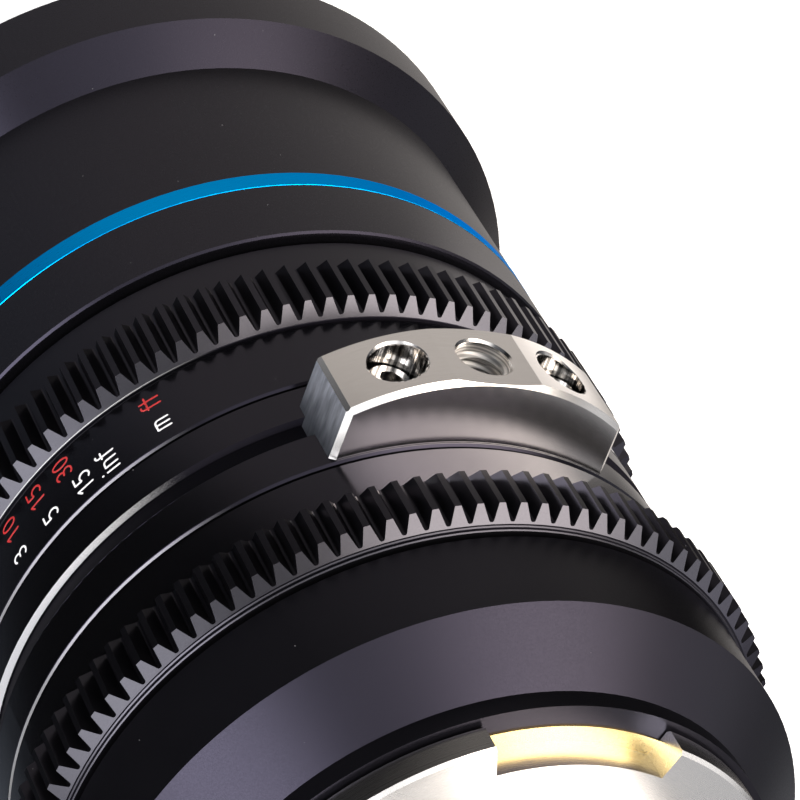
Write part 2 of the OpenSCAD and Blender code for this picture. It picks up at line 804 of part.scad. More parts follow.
module rear_cell() {
    bore_r = rear_glass_r + seat_gap;
    color([0.09, 0.09, 0.1])
        rotate_extrude()
            polygon([
                [bore_r, z_rear_cell], [rear_cell_r, z_rear_cell], [rear_cell_r, z_rear_cell_end],
                [rear_glass_r - ring_lip, z_rear_cell_end], [rear_glass_r - ring_lip, z_rear_glass_end],
                [bore_r, z_rear_glass_end]]);
}

module rear_inner_element() {
    color([0.6, 0.75, 0.8, 0.35])
        lens(rear_glass_r, z_rear_glass_end - rear_glass_edge, z_rear_glass_end,
             rear_glass_bulge, rear_glass_hollow);
}

module rear_inner_retainer() {
    touch_r = rear_glass_r - ring_lip;
    z_touch = z_rear_glass_end - rear_glass_edge
        - sag(rear_glass_bulge, rear_glass_r) + sag(rear_glass_bulge, touch_r);
    color([0.06, 0.06, 0.06])
        ring(touch_r, rear_glass_r, z_touch - rear_lip, z_touch);
}

module mount_screw_places(z) {
    for (i = [0:3])
        around(45 + 90 * i, z)
            translate([mount_screw_r, 0, 0])
                children();
}

module mount_shim() {
    color([0.75, 0.6, 0.3])
        difference() {
            ring(locate_r, lug_r - shim_inset, z_rear_end, z_lug);
            mount_screw_places(z_rear_end - cut)
                cylinder(d = small_screw_d + 4 * seat_gap, h = shim_t + 2 * cut, $fn = 48);
        }
}

module mount_flange() {
    gap_sweep = 90 - lug_sweep;
    color([0.75, 0.75, 0.76])
        difference() {
            union() {
                broken_ring(rear_tube_r + seat_gap, lug_r, z_lug, z_seat, edge);
                broken_ring(rear_tube_r + seat_gap, locate_r, z_lug, z_seat + locate_len, edge);
            }
            for (i = [0:3])
                rotate([0, 0, 90 * i - gap_sweep / 2])
                    rotate_extrude(angle = gap_sweep)
                        translate([waist_r, z_lug - cut])
                            square([lug_r, lug_t + 2 * cut]);
            around(45, z_lug - cut)
                translate([lug_r - mount_key_depth, -mount_key_w / 2, 0])
                    cube([lug_r, mount_key_w, lug_t + 2 * cut]);
            mount_screw_places(z_seat - small_head_t)
                cylinder(d = small_head_d + 4 * seat_gap, h = lug_t, $fn = 48);
            mount_screw_places(z_lug - cut)
                cylinder(d = small_screw_d + 2 * seat_gap, h = lug_t + cut, $fn = 48);
        }
}

module mount_screws() {
    color([0.7, 0.7, 0.7])
        mount_screw_places(z_seat - small_head_t)
            socket_screw(small_screw_d, small_head_d, small_head_t - head_drop, mount_screw_len, small_key);
}

module rear_tube() {
    color([0.04, 0.04, 0.04])
        rotate_extrude()
            polygon([
                [last_glass_r + seat_gap, z_lug], [rear_tube_r, z_lug], [rear_tube_r, z_top - edge],
                [rear_tube_r - edge, z_top], [rear_bore_r, z_top], [last_lip_r, z_last_lip + last_lip_t],
                [last_lip_r, z_last_lip], [last_glass_r + seat_gap, z_last_lip]]);
}

module rear_element() {
    color([0.6, 0.75, 0.8, 0.35])
        lens(last_glass_r, z_last - last_edge, z_last, last_front_bulge, -last_rear_bulge);
}

module rear_retainer() {
    z_touch = z_last - last_edge - sag(last_front_bulge, last_glass_r) + sag(last_front_bulge, last_lip_r);
    color([0.06, 0.06, 0.06])
        ring(last_lip_r, last_glass_r, z_touch - retainer_t, z_touch);
}

// The scale sleeve's set screws stay clear of the scale's own marks
module scale_screw_places() {
    for (a = hidden_angles)
        around(a, z_focus_end - scale_screw_at)
            children();
}

module focus_ring() {
    w = follower_d + 2 * follower_gap;
    step = focus_turn / groove_steps;
    mid_r = tube_r + groove_depth / 2;
    lean = atan(focus_rate * 180 / PI / mid_r);
    bore_r = tube_r + run_gap;
    color([0.1, 0.1, 0.11])
        difference() {
            rotate_extrude($fn = 180)
                polygon([[bore_r, z_focus], [ring_r, z_focus], [collar_r, z_focus + collar_step],
                         [collar_r, z_focus + focus_gear_at], [core_r, z_focus + focus_gear_at],
                         [core_r, z_focus_end], [bore_r, z_focus_end]]);
            for (i = [0:follower_count - 1], j = [0:groove_steps - 1]) {
                turn = -focus_far + (j + 0.5) * step;
                over = j == 0 || j == groove_steps - 1 ? 2 * w : groove_over;
                reach = 2 * mid_r * tan(step / 2) + over;
                around(follower_angle + i * 360 / follower_count + turn, z_follow - focus_rate * turn)
                    rotate([-lean, 0, 0])
                        translate([tube_r - groove_depth, -reach / 2, -w / 2])
                            cube([2 * groove_depth, reach, w]);
            }
            scale_screw_places()
                radial_rod(scale_screw_d + 2 * seat_gap, core_r - scale_screw_d, core_r + cut);
        }
}

// Axial run of a leaning tooth end from the tip down to radius r
function tooth_run(r) = tooth_lean * (tip_r - r);

// Outline of one tooth at angle a, from the gap before it to the gap after it
function tooth(a) =
    let (flank = [[root_half, root_r], [toe_half, root_r + toe_h], [fillet_half, root_r + fillet_h],
                  [pitch_half, tip_r - gear_module], [tip_half, tip_r], [over_half, tip_r + tooth_over]])
    concat([for (p = flank) turned([p[1], -p[0]], a)],
           [for (i = [len(flank) - 1:-1:0]) turned([flank[i][1], flank[i][0]], a)]);

// Gear ring from height z. The heel is its outline behind the teeth: radii, and heights above the land's end
module gear(z, width, land, heel, phase) {
    bore_r = core_r + seat_gap;
    z_land = z + tooth_run(tooth_foot_r);
    z_heel = z_land + land;
    intersection() {
        rotate_extrude($fn = 180)
            polygon(concat([[bore_r, z], [tooth_foot_r, z], [tip_r, z_land], [tip_r, z_heel]],
                           [for (p = heel) [p[0], z_heel + p[1]]],
                           [[bore_r, z + width]]));
        translate([0, 0, z - cut])
            linear_extrude(width + 2 * cut)
                polygon([for (i = [0:gear_teeth - 1], p = tooth(phase + i * 360 / gear_teeth)) p]);
    }
}

module focus_gear() {
    color([0.2, 0.2, 0.21])
        gear(z_focus + focus_gear_at + seat_gap, focus_gear_w, focus_land,
             [[focus_heel_r, tooth_run(focus_heel_r)]], focus_phase);
}

module focus_scale() {
    color([0.05, 0.05, 0.06])
        difference() {
            rotate_extrude($fn = 180)
                polygon([[core_r + seat_gap, z_scale], [ring_r, z_scale], [ring_r, z_focus_end - ring_edge],
                         [ring_r - ring_edge, z_focus_end], [core_r + seat_gap, z_focus_end]]);
            scale_screw_places()
                radial_rod(scale_screw_d + 2 * seat_gap, core_r - cut, ring_r + cut);
        }
}

module scale_screws() {
    color([0.25, 0.25, 0.25])
        scale_screw_places()
            set_screw(scale_screw_d, core_r - scale_screw_d + head_drop, ring_r - head_drop);
}

module focus_cell() {
    lip_r = cell_in - ring_lip;
    color([0.1, 0.1, 0.11])
        difference() {
            rotate_extrude()
                polygon([
                    [cell_in, z_focus_cell], [cell_r, z_focus_cell], [cell_r, z_focus_cell_end],
                    [cell_in, z_focus_cell_end], [cell_in, z_rear_glass],
                    [lip_r, z_rear_glass], [lip_r, z_cell_lip], [cell_in, z_cell_lip]]);
            for (i = [0:follower_count - 1])
                around(follower_angle + i * 360 / follower_count, z_follow)
                    radial_rod(follower_d + 2 * seat_gap, follower_root - seat_gap, cell_r + cut);
        }
}

module cam_followers() {
    color([0.8, 0.65, 0.3])
        for (i = [0:follower_count - 1])
            around(follower_angle + i * 360 / follower_count, z_follow)
                radial_rod(follower_d, follower_root, follower_tip);
}

module focus_front_element() {
    color([0.6, 0.75, 0.8, 0.35])
        lens(focus_glass_r, z_cell_lip - 2 * focus_glass_edge, z_cell_lip,
             focus_front_bulge, focus_front_hollow);
}

module focus_rear_element() {
    color([0.6, 0.75, 0.8, 0.35])
        lens(focus_glass_r, z_rear_glass, z_rear_glass + focus_glass_edge,
             -focus_rear_hollow, -focus_rear_bulge);
}

module focus_spacer() {
    color([0.06, 0.06, 0.06])
        ring(spacer_r, focus_glass_r, z_spacer, z_spacer + spacer_t);
}

module focus_retainer() {
    z0 = z_spacer + spacer_t;
    color([0.06, 0.06, 0.06])
        ring(spacer_r - focus_retainer_lip, focus_glass_r, z0, z0 + focus_retainer_t);
}

module iris_ring() {
    color([0.05, 0.05, 0.05])
        difference() {
            rotate_extrude($fn = 180)
                polygon([[tube_r + run_gap, z_iris],
                         [ring_r - ring_edge, z_iris], [ring_r, z_iris + ring_edge],
                         [ring_r, z_iris + iris_gear_at], [core_r, z_iris + iris_gear_at],
                         [core_r, z_iris_end], [tube_r + run_gap, z_iris_end]]);
            around(drive_angle, z_drive)
                radial_rod(drive_pin_d + 2 * seat_gap, tube_r - cut, core_r + cut);
        }
}

module iris_gear() {
    run = tooth_run(iris_heel_r);
    hub_r = ring_r + hub_bevel;
    color([0.2, 0.2, 0.21])
        gear(z_iris + iris_gear_at + seat_gap, iris_gear_w, iris_land,
             [[iris_heel_r, run], [hub_r + hub_bevel, run], [hub_r, run + hub_bevel],
              [hub_r, run + iris_tail - hub_bevel], [ring_r, run + iris_tail]], iris_phase);
}

module iris_drive_pin() {
    color([0.6, 0.6, 0.6])
        around(drive_angle, z_drive)
            radial_rod(drive_pin_d, cam_rim_in + drive_pin_hold, core_r - head_drop);
}

// Path of a blade's drive pin seen from the turning cam ring, t degrees from wide open
function cam_point(t) = turned(pivot + turned(drive_pin - pivot, iris_ratio * t), iris_rest - t);

function cam_side(side) =
    let (step = iris_turn / cam_steps)
    [for (i = [0:cam_steps])
        let (t = i * step + (i == 0 ? -cam_over : i == cam_steps ? cam_over : 0),
             d = cam_point(t + 0.1) - cam_point(t - 0.1),
             n = [-d[1], d[0]] / norm(d))
        cam_point(t) + side * n * cam_slot_w / 2];

module iris_cam_ring() {
    near = cam_side(1);
    far = cam_side(-1);
    color([0.15, 0.15, 0.16])
        difference() {
            union() {
                ring(cam_in, cam_out, z_cam, z_cam_plate_top);
                ring(cam_rim_in, cam_out, z_cam, z_cam_end);
            }
            translate([0, 0, z_cam - cut])
                for (i = [0:blade_count - 1])
                    rotate([0, 0, i * 360 / blade_count])
                        linear_extrude(iris_plate_t + cut)
                            polygon(concat(near, [for (k = [cam_steps:-1:0]) far[k]]));
            around(drive_angle, z_drive)
                radial_rod(drive_pin_d + 2 * seat_gap, cam_rim_in - cut, cam_out + cut);
        }
}

module iris_housing() {
    color([0.1, 0.1, 0.1])
        difference() {
            ring(iris_open_r + iris_plate_lip, iris_out, z_iris_plate, z_iris_plate + iris_plate_t);
            for (i = [0:blade_count - 1])
                around(i * 360 / blade_count, z_iris_plate - cut)
                    translate([pivot_circle_r, 0, 0])
                        cylinder(d = blade_pin_d + 2 * run_gap, h = iris_plate_t + 2 * cut, $fn = 32);
        }
}

module iris_cover() {
    color([0.1, 0.1, 0.1])
        ring(cam_rim_in - cover_lip, iris_out, z_cover, z_cover + cover_t);
}

// Flat shape of a wide open blade, with its pivot on the X axis
module blade_shape() {
    far = 2 * blade_out;
    intersection() {
        difference() {
            circle(r = blade_out);
            circle(r = iris_open_r);
        }
        polygon([[0, 0], [far, 0], [far, far], [far * cos(blade_sweep), far],
                 far * [cos(blade_sweep), sin(blade_sweep)]]);
    }
    translate(pivot)
        circle(d = blade_eye_d, $fn = 32);
    translate(drive_pin)
        circle(d = blade_eye_d, $fn = 32);
    polygon([pivot + [blade_pin_d, -blade_neck], drive_pin + [blade_pin_d, blade_neck],
             blade_out * [cos(2 * arm_angle), sin(2 * arm_angle)] - [blade_lap, 0],
             [blade_out - blade_lap, 0]]);
}

module iris_blade(i) {
    z0 = z_blades + (i - 1) * blade_pitch;
    z_pin = z_iris_plate + pin_reach;
    color([0.2, 0.2, 0.22])
        rotate([0, 0, (i - 1) * 360 / blade_count])
            translate([pivot_circle_r, 0, 0])
                rotate([0, 0, blade_rest])
                    translate([-pivot_circle_r, 0, 0]) {
                        translate([0, 0, z0])
                            linear_extrude(blade_t)
                                blade_shape();
                        translate([pivot[0], pivot[1], z_pin])
                            cylinder(d = blade_pin_d, h = z0 + blade_t - z_pin, $fn = 32);
                        translate([drive_pin[0], drive_pin[1], z0])
                            cylinder(d = blade_pin_d, h = z_cam_plate_top - pin_reach - z0, $fn = 32);
                    }
}

front_barrel();
accent_ring();
front_bezel();
front_cell();
front_element();
front_retainer();
front_inner_element();
front_inner_retainer();
main_barrel();
barrel_screws();
thrust_rings();
index_barrel();
index_screws();
support_foot();
foot_screws();
rear_barrel();
rear_screws();
rear_cell();
rear_inner_element();
rear_inner_retainer();
mount_shim();
mount_flange();
mount_screws();
rear_tube();
rear_element();
rear_retainer();
iris_housing();
iris_cover();
focus_ring();
focus_gear();
focus_scale();
scale_screws();
focus_cell();
cam_followers();
focus_front_element();
focus_rear_element();
focus_spacer();
focus_retainer();
iris_ring();
iris_gear();
iris_drive_pin();
iris_cam_ring();
for (i = [1:blade_count])
    iris_blade(i);
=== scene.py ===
"""Looks of the cinema prime lens: materials, painted scales, threads, light and camera."""
import json
import math

import bpy
from mathutils import Matrix, Vector

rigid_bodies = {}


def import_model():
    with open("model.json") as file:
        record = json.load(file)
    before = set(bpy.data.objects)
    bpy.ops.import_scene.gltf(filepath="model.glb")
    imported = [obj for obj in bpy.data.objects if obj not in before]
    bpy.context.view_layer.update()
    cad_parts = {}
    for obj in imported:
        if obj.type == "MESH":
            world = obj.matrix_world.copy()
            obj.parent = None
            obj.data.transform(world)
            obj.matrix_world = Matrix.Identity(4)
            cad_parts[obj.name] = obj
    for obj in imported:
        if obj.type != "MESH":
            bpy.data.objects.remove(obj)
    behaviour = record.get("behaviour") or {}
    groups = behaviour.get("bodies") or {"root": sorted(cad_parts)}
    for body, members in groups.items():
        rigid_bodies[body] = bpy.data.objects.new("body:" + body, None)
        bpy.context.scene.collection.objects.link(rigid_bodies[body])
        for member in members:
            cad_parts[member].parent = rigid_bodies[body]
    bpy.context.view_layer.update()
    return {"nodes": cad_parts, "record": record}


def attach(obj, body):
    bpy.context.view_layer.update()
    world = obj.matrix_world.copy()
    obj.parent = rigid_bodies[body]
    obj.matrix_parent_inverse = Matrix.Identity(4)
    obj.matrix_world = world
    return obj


for leftover in list(bpy.data.objects):
    bpy.data.objects.remove(leftover)
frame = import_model()
nodes = frame["nodes"]
scene = bpy.context.scene
MM = 0.001

# Sizes repeated from the CAD part, in millimetres: radii, depths, and heights above the front rim
RING_R = 41.6
FOOT_REACH = 49.3
FOOT_MID_Z = 82.886
FOOT_HALF = 16.9
FOOT_SCREWS_X = (-10.15, 10.15)
SINK_R = 3.15
SUPPORT_R = 3.175
SUPPORT_DEPTH = 7.0
FILTER_R = 41.0
FILTER_DEPTH = 7.0
GROOVE_R = 40.45
GROOVE_Z = (80.036, 83.236)
INDEX_Z = (74.986, 88.636)
FOCUS_HEEL_R = 41.85
FOCUS_HEEL_Z = 64.856


class Tree:
    """A node tree with short calls for the nodes used here. A call takes sockets or plain values."""

    def __init__(self, tree):
        self.tree = tree

    def add(self, kind, **values):
        node = self.tree.nodes.new(kind)
        for key, value in values.items():
            setattr(node, key, value)
        return node

    def feed(self, socket, value):
        """Links a socket to another one, or sets its value."""
        if isinstance(value, bpy.types.NodeSocket):
            self.tree.links.new(value, socket)
        else:
            socket.default_value = value

    def math(self, operation, a, b=0.0):
        node = self.add("ShaderNodeMath", operation=operation)
        self.feed(node.inputs[0], a)
        self.feed(node.inputs[1], b)
        return node.outputs[0]

    def ramp(self, value, low, high, to_low=0.0, to_high=1.0, smooth=False):
        """Maps low..high to to_low..to_high, and stays at the ends beyond that."""
        node = self.add("ShaderNodeMapRange", interpolation_type="SMOOTHSTEP" if smooth else "LINEAR")
        for socket, v in zip(node.inputs, (value, low, high, to_low, to_high)):
            self.feed(socket, v)
        return node.outputs[0]

    def blend(self, fac, at_0, at_1):
        """A number that goes from one value to another as fac goes from 0 to 1."""
        return self.ramp(fac, 0.0, 1.0, at_0, at_1)

    def mix(self, fac, a, b):
        """A colour that goes from a to b as fac goes from 0 to 1."""
        node = self.add("ShaderNodeMix", data_type="RGBA")
        self.feed(node.inputs["Factor"], fac)
        self.feed(node.inputs[6], a)
        self.feed(node.inputs[7], b)
        return node.outputs[2]

    def length(self, a, b):
        """Length of the flat vector with components a and b."""
        return self.math("SQRT", self.math("ADD", self.math("MULTIPLY", a, a), self.math("MULTIPLY", b, b)))

    def away(self, a, b, spot):
        """Distance of the flat point (a, b) from a fixed spot."""
        return self.length(self.math("SUBTRACT", a, spot[0]), self.math("SUBTRACT", b, spot[1]))

    def split(self, vector):
        node = self.add("ShaderNodeSeparateXYZ")
        self.feed(node.inputs[0], vector)
        return node.outputs


class Finish(Tree):
    """A material's node tree. Its coordinates are the object's own: the part's frame in metres."""

    NOISE_SPAN = (0.3, 0.7)

    def __init__(self, name):
        self.name = name
        self.mat = bpy.data.materials.new(name)
        self.mat.use_nodes = True
        super().__init__(self.mat.node_tree)
        self.bsdf = self.tree.nodes["Principled BSDF"]
        self.coords = self.add("ShaderNodeTexCoord")

    def set(self, **values):
        """Sets or links the shader's own sockets."""
        for key, value in values.items():
            self.feed(self.bsdf.inputs[key.replace("_", " ")], value)

    def place(self):
        return self.coords.outputs["Object"]

    def xyz(self):
        return self.split(self.place())

    def normal(self):
        return self.split(self.coords.outputs["Normal"])

    def radius(self):
        """Distance from the lens axis."""
        x, y, _ = self.xyz()
        return self.length(x, y)

    def scaled(self, scale):
        node = self.add("ShaderNodeMapping")
        self.feed(node.inputs["Vector"], self.place())
        node.inputs["Scale"].default_value = scale
        return node.outputs["Vector"]

    def noise(self, scale, detail=2.0, vector=None, rough=0.5):
        node = self.add("ShaderNodeTexNoise")
        self.feed(node.inputs["Vector"], vector or self.place())
        node.inputs["Scale"].default_value = scale
        node.inputs["Detail"].default_value = detail
        node.inputs["Roughness"].default_value = rough
        return node.outputs["Fac"]

    def line_noise(self, along, detail):
        """Noise along one number, at the node's own scale of 5."""
        node = self.add("ShaderNodeTexNoise", noise_dimensions="1D")
        self.feed(node.inputs["W"], along)
        node.inputs["Detail"].default_value = detail
        return node.outputs["Fac"]

    def vary(self, noise, low, high):
        """Spreads a noise, which mostly lies within NOISE_SPAN, between two values."""
        return self.ramp(noise, *self.NOISE_SPAN, low, high)

    def bump(self, height, strength, distance):
        node = self.add("ShaderNodeBump")
        node.inputs["Strength"].default_value = strength
        node.inputs["Distance"].default_value = distance
        self.feed(node.inputs["Height"], height)
        self.feed(self.bsdf.inputs["Normal"], node.outputs["Normal"])


def grey(v, tint=(1.0, 1.0, 1.0)):
    return (v * tint[0], v * tint[1], v * tint[2], 1.0)


# Tints of the blacks and the metals, and the gloss of the anodised coating
COOL = (0.98, 0.96, 1.1)
WARM = (1.0, 0.97, 0.94)
BRASS = (1.1, 0.85, 0.38)
COATING_IOR = 1.4
COATING_TINT = (0.76, 0.7, 1.0, 1.0)

# Dust: cells per metre, the random number that a cell with a speck passes, a speck's size in cells
DUST_SCALE = 620.0
DUST_CHOICE = (0.8, 0.81)
DUST_SIZE = (0.02, 0.05)
DUST_GREY = grey(0.12)

# Mottling of black coatings, in patches per metre
CLOUD_SCALE = 140.0
CLOUD_DETAIL = 3.0


def dust(n, under):
    """Sparse specks of dust over a colour."""
    cells = n.add("ShaderNodeTexVoronoi")
    n.feed(cells.inputs["Vector"], n.place())
    cells.inputs["Scale"].default_value = DUST_SCALE
    choice, size, _ = n.split(cells.outputs["Color"])
    near = n.math("LESS_THAN", cells.outputs["Distance"], n.blend(size, *DUST_SIZE))
    return n.mix(n.math("MULTIPLY", n.ramp(choice, *DUST_CHOICE), near), under, DUST_GREY)


def anodised(name, grain, grain_height, rough=None):
    """Anodised aluminium without its colour: coating and fine grain, and roughness where it is given."""
    n = Finish(name)
    n.set(IOR=COATING_IOR, Specular_Tint=COATING_TINT)
    fine = n.noise(grain)
    n.bump(fine, 0.35, grain_height)
    if rough is not None:
        n.set(Roughness=n.vary(fine, rough * 0.88, rough * 1.12))
    return n


def mottled(name, value, rough, grain, grain_height, mottling=0.25, dusty=True):
    """Anodised aluminium or plain plastic of one faintly mottled grey, with a little dust on it."""
    n = anodised(name, grain, grain_height, rough)
    cloud = n.noise(CLOUD_SCALE, CLOUD_DETAIL)
    colour = n.mix(cloud, grey(value * (1 - mottling), COOL), grey(value * (1 + mottling), COOL))
    n.set(Base_Color=dust(n, colour) if dusty else colour)
    return n


# Painted highlights on edges, standing for light that falls on one side of the lens: the side where they are
# strongest, and for each edge the angles, in degrees round the axis, where the highlight is none and full,
# and how much bare-metal colour it paints there if that isn't all
HIGHLIGHT_MID = math.radians(60.0)
CHAMFER_LIT = (-52.0, -33.0)
CHAMFER_SHEEN = 0.17
GROOVE_LIT = (-46.0, -20.0)
EDGE_LIT = (-60.0, -36.0)
EDGE_SHEEN = 0.4
# Bare-metal colour of the painted highlights on chamfers and edges
HIGHLIGHT_METAL = grey(0.9)

# The gloss black of the sleeves
SLEEVE_BLACK = grey(0.0012, COOL)
SLEEVE_ROUGH = 0.17
SLEEVE_GRAIN = 9000.0
SLEEVE_GRAIN_HEIGHT = 0.6e-6


def highlight_side(n, none_at, full_at, ragged=0.0):
    """Mask of a painted highlight: full on the side of the lens where the light falls, fading out round it
    between two angles in degrees.
    """
    x, y, _ = n.xyz()
    toward = n.math("ADD", n.math("MULTIPLY", x, math.cos(HIGHLIGHT_MID)),
                    n.math("MULTIPLY", y, math.sin(HIGHLIGHT_MID)))
    toward = n.math("ADD", n.math("DIVIDE", toward, n.length(x, y)), ragged)
    return n.ramp(toward, math.cos(math.radians(none_at) - HIGHLIGHT_MID),
                  math.cos(math.radians(full_at) - HIGHLIGHT_MID), smooth=True)


def chamfer_highlight(n):
    """How much bare-metal colour paints a highlight on the rear chamfer of a sleeve: most at one side, and 0
    off the chamfer.
    """
    nz = n.normal()[2]
    sheen = n.math("MULTIPLY", highlight_side(n, *CHAMFER_LIT), CHAMFER_SHEEN)
    sheen = n.math("MULTIPLY", sheen, n.math("LESS_THAN", n.radius(), (RING_R - 0.06) * MM))
    return n.math("MULTIPLY", sheen, n.math("MULTIPLY", n.ramp(nz, 0.5, 0.65), n.ramp(nz, 0.9, 0.78)))


def gloss_black():
    """Gloss black sleeves, with a painted highlight of bright metal on one side of their rear chamfers."""
    n = anodised("gloss_black", SLEEVE_GRAIN, SLEEVE_GRAIN_HEIGHT, SLEEVE_ROUGH)
    chamfer_sheen = chamfer_highlight(n)
    n.set(Base_Color=n.mix(chamfer_sheen, dust(n, SLEEVE_BLACK), HIGHLIGHT_METAL), Metallic=chamfer_sheen)
    return n


def index_black():
    """Gloss black with a painted highlight on its rear chamfer, and a painted reflection of satin metal on
    the front wall of the turned groove, on one side only.
    """
    n = anodised("index_black", SLEEVE_GRAIN, SLEEVE_GRAIN_HEIGHT)
    bed = n.math("LESS_THAN", n.radius(), (GROOVE_R + 0.2) * MM)
    low = n.math("LESS_THAN", n.xyz()[2], (GROOVE_Z[0] + 0.3) * MM)
    wall = n.math("MULTIPLY", n.ramp(n.normal()[2], 0.85, 0.95), low)
    wall = n.math("MULTIPLY", wall, n.math("SUBTRACT", 1.0, bed))
    speckle = n.noise(7000.0)
    # Painted reflection: bare metal colour on the groove wall only on the side where it would reflect the
    # light
    sheen = highlight_side(n, *GROOVE_LIT, n.vary(speckle, -0.04, 0.04))
    sheen_metal = n.math("ADD", n.math("MULTIPLY", wall, sheen), chamfer_highlight(n))
    reflection_grey = n.mix(speckle, grey(0.85), grey(1.0))
    n.set(Base_Color=n.mix(sheen_metal, dust(n, SLEEVE_BLACK), reflection_grey), Metallic=sheen_metal)
    duller = n.math("ADD", n.math("MULTIPLY", wall, 0.58), n.math("MULTIPLY", bed, 0.5))
    n.set(Roughness=n.math("ADD", duller, SLEEVE_ROUGH), Specular_IOR_Level=n.blend(bed, 0.5, 0.15))
    return n


def edge_highlight():
    """Black edge with a painted highlight: bright metal colour on the side where the light falls."""
    n = anodised("edge_highlight", SLEEVE_GRAIN, SLEEVE_GRAIN_HEIGHT, 0.3)
    sheen = n.math("MULTIPLY", highlight_side(n, *EDGE_LIT), EDGE_SHEEN)
    n.set(Base_Color=n.mix(sheen, SLEEVE_BLACK, HIGHLIGHT_METAL), Metallic=sheen)
    return n


def gear_black():
    """Gear rings: black flanks and flat ends, and satin grey metal on the leaning ends of the teeth, chosen
    by which way a face points, as painted highlight and painted shade.
    """
    n = anodised("gear_black", 7000.0, 1.5e-6)
    nz = n.normal()[2]
    # Painted highlight and shade: faces that lean toward the light get light grey metal, flat ends stay black
    ends = n.math("MULTIPLY", n.ramp(nz, 0.55, 0.75), n.ramp(nz, 0.97, 0.92))
    dark = n.mix(n.noise(CLOUD_SCALE, CLOUD_DETAIL), grey(0.001, COOL), grey(0.002, COOL))
    light = n.mix(n.noise(6000.0), grey(0.052, COOL), grey(0.07, COOL))
    n.set(Base_Color=n.mix(ends, dust(n, dark), light))
    n.set(Metallic=n.blend(ends, 0.0, 0.9), Roughness=n.blend(ends, 0.3, 0.24))
    return n


def accent_blue():
    """Blue anodised ring with fine turned lines."""
    n = Finish("accent_blue")
    fine = n.noise(1.0, 2.0, n.scaled((900.0, 900.0, 9000.0)))
    n.set(Base_Color=n.mix(fine, (0.0, 0.34, 0.86, 1), (0.0, 0.44, 0.98, 1)), Metallic=1.0)
    n.set(Specular_Tint=(0.02, 0.4, 0.9, 1), Roughness=n.vary(fine, 0.26, 0.36))
    n.bump(fine, 0.2, 1.5e-6)
    return n


# Streaks of noise in small metal parts, per metre along X, Y and Z
EVEN_STREAKS = (3000.0, 3000.0, 3000.0)
BLADE_STREAKS = (1500.0, 6000.0, 3000.0)
BRASS_STREAKS = (3000.0, 3000.0, 6000.0)
STREAK_DETAIL = 4.0
STREAK_ROUGH = 0.6


def metal(name, rough, streaks, streak_height):
    """A small metal part without its colour: fine streaks in roughness and bump. Gives the streaks too."""
    n = Finish(name)
    streak = n.noise(1.0, STREAK_DETAIL, n.scaled(streaks), STREAK_ROUGH)
    cloud = n.noise(220.0, CLOUD_DETAIL)
    n.set(Metallic=1.0, Roughness=n.math("ADD", n.vary(streak, rough * 0.8, rough * 1.2),
                                         n.vary(cloud, -0.02, 0.02)))
    n.bump(streak, 0.3, streak_height)
    return n, streak


def streaked(name, value, rough, streaks, tint=WARM):
    """Steel of screws and blades, or brass."""
    n, streak = metal(name, rough, streaks, 1e-6)
    n.set(Base_Color=n.mix(streak, grey(value * 0.9, tint), grey(value * 1.08, tint)))
    return n


def turned_steel():
    """Steel turned on a lathe: fine rings round the lens axis."""
    n = Finish("machined_steel")
    along = n.math("ADD", n.radius(), n.xyz()[2])
    lines = n.line_noise(n.math("MULTIPLY", along, 4500.0), 4.0)
    n.set(Base_Color=n.mix(lines, grey(0.66, WARM), grey(0.82, WARM)), Metallic=1.0)
    n.set(Roughness=n.vary(lines, 0.22, 0.32))
    n.bump(lines, 0.2, 0.5e-6)
    return n


# The foot: its lines and saw marks per metre along X, Y and Z, the span in Y over which painted shade darkens
# its ends, the spacing of the painted light lines in its tapped hole and the edge of the painted shade in a
# screw's socket, in millimetres
FOOT_LINES = (300.0, 420.0, 9000.0)
SAW_MARKS = (300.0, 230.0, 1100.0)
END_SHADE_Y = (-44.2, -38.5)
THREAD_LINE = 0.42
SOCKET_EDGE = (1.34, 1.24)


def hole_reach(n, x_mid):
    """Distance from the axis of one of the foot's holes."""
    x, _, z = n.xyz()
    return n.away(x, z, (x_mid * MM, FOOT_MID_Z * MM))


def hole_turn(n, x_mid):
    """Angle round the axis of one of the foot's holes."""
    x, _, z = n.xyz()
    return n.math("ARCTAN2", n.math("SUBTRACT", z, FOOT_MID_Z * MM), n.math("SUBTRACT", x, x_mid * MM))


def hole_wall(n, x_mid, reach, lip):
    """1 within reach of a hole's axis and deeper than its lip, 0 elsewhere, with sizes in millimetres."""
    deep = n.math("GREATER_THAN", n.xyz()[1], (lip - FOOT_REACH) * MM)
    return n.math("MULTIPLY", n.math("LESS_THAN", hole_reach(n, x_mid), reach * MM), deep)


def painted_thread_lines(n):
    """Painted light on the crests and painted shade in the roots of the tapped hole, with painted shade
    deepening toward the bottom.
    """
    y = n.xyz()[1]
    phase = n.math("ADD", n.math("MULTIPLY", y, 2.0 * math.pi / (THREAD_LINE * MM)), hole_turn(n, 0.0))
    line = n.ramp(n.math("SINE", phase), -0.7, 0.7, 0.45, 1.0, smooth=True)
    depth = n.ramp(y, (1.0 - FOOT_REACH) * MM, (5.5 - FOOT_REACH) * MM, 1.0, 0.7)
    return n.mix(n.math("MULTIPLY", line, depth), grey(0.03, WARM), grey(0.92, WARM))


def shaded_sawn_end(n):
    """Colour of the foot's sawn ends: saw marks, with painted shade that darkens them toward the barrel and
    painted light away from it.
    """
    saw = n.noise(1.0, STREAK_DETAIL, n.scaled(SAW_MARKS))
    # Painted shade: the end faces darken toward the barrel
    outward = n.ramp(n.xyz()[1], END_SHADE_Y[0] * MM, END_SHADE_Y[1] * MM, 0.9, 0.2)
    return n.mix(n.math("MULTIPLY", outward, n.vary(saw, 0.45, 1.2)),
                 (0.03, 0.04, 0.06, 1), (0.9, 0.93, 1.0, 1))


